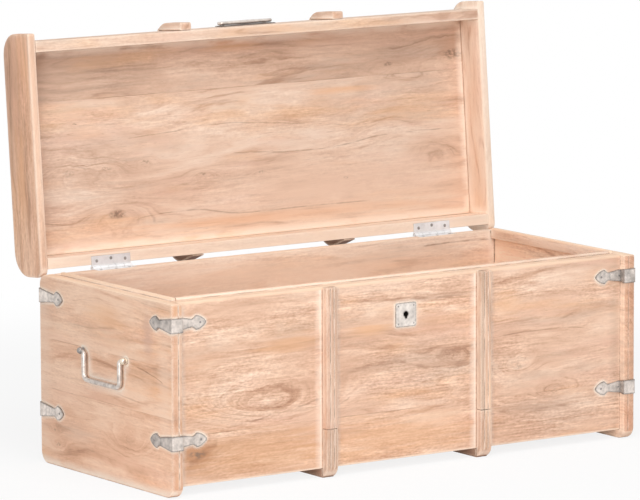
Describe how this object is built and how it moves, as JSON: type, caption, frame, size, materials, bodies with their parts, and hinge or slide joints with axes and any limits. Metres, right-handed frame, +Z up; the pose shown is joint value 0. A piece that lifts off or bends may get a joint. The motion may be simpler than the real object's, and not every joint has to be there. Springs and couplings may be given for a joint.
{
  "type": "storage trunk",
  "caption": "Pale solid-wood storage trunk with an open hinged lid, proud ribs and end boards, iron corner straps, drop handles on the ends and a key plate.",
  "frame": {"origin": "on the floor, under the middle of the bounding box of the trunk with its lid open", "axes": "+X along the trunk's length towards its right end, +Y from the front to the back, +Z up"},
  "size_m": [0.9252, 0.4975, 0.6899],
  "materials": {
    "body_wood": "limed, matt",
    "lid_wood": "limed, matt",
    "strap_iron": "hammered, aged",
    "handle_iron": "aged satin",
    "hinge_steel": "dull zinc"
  },
  "bodies": {
    "trunk": {"left_end_board": "body_wood", "right_end_board": "body_wood", "front_panel": "body_wood", "back_panel": "body_wood", "bottom_panel": "body_wood", "front_lip": "body_wood", "left_lip": "body_wood", "right_lip": "body_wood", "left_front_rib": "body_wood", "left_front_foot": "body_wood", "left_back_rib": "body_wood", "left_back_foot": "body_wood", "left_runner": "body_wood", "right_front_rib": "body_wood", "right_front_foot": "body_wood", "right_back_rib": "body_wood", "right_back_foot": "body_wood", "right_runner": "body_wood", "left_front_upper_strap": "strap_iron", "right_front_upper_strap": "strap_iron", "left_back_upper_strap": "strap_iron", "right_back_upper_strap": "strap_iron", "left_front_lower_strap": "strap_iron", "right_front_lower_strap": "strap_iron", "left_back_lower_strap": "strap_iron", "right_back_lower_strap": "strap_iron", "key_plate": "strap_iron", "left_front_post": "handle_iron", "left_back_post": "handle_iron", "right_front_post": "handle_iron", "right_back_post": "handle_iron", "left_hinge_body_leaf": "hinge_steel", "right_hinge_body_leaf": "hinge_steel", "left_hinge_pin": "hinge_steel", "right_hinge_pin": "hinge_steel"},
    "lid": {"lid_top_panel": "lid_wood", "lid_front_wall": "lid_wood", "lid_back_wall": "lid_wood", "lid_left_end": "lid_wood", "lid_right_end": "lid_wood", "lid_left_front_rib": "lid_wood", "lid_left_top_rib": "lid_wood", "lid_left_back_rib": "lid_wood", "lid_right_front_rib": "lid_wood", "lid_right_top_rib": "lid_wood", "lid_right_back_rib": "lid_wood", "left_hinge_lid_leaf": "hinge_steel", "right_hinge_lid_leaf": "hinge_steel", "lid_pull_plate": "handle_iron", "lid_pull_left_post": "handle_iron", "lid_pull_right_post": "handle_iron"},
    "left_handle": {"left_bail": "handle_iron"},
    "right_handle": {"right_bail": "handle_iron"},
    "lid_pull": {"lid_pull_bail": "handle_iron"}
  },
  "joints": [
    {"name": "lid_hinge", "type": "hinge", "parent": "trunk", "child": "lid", "pos_m": [0, 0.13821, 0.3063], "axis": [1, 0, 0], "range_deg": [0, 95]},
    {"name": "left_bail_swing", "type": "hinge", "parent": "trunk", "child": "left_handle", "pos_m": [-0.45705, -0.05109, 0.2], "axis": [0, 1, 0], "range_deg": [-1.5, 165]},
    {"name": "right_bail_swing", "type": "hinge", "parent": "trunk", "child": "right_handle", "pos_m": [0.45705, -0.05109, 0.2], "axis": [0, -1, 0], "range_deg": [-1.5, 165]},
    {"name": "lid_pull_swing", "type": "hinge", "parent": "lid", "child": "lid_pull", "pos_m": [0, 0.23119, 0.67711], "axis": [-1, 0, 0], "range_deg": [0, 170]}
  ]
}
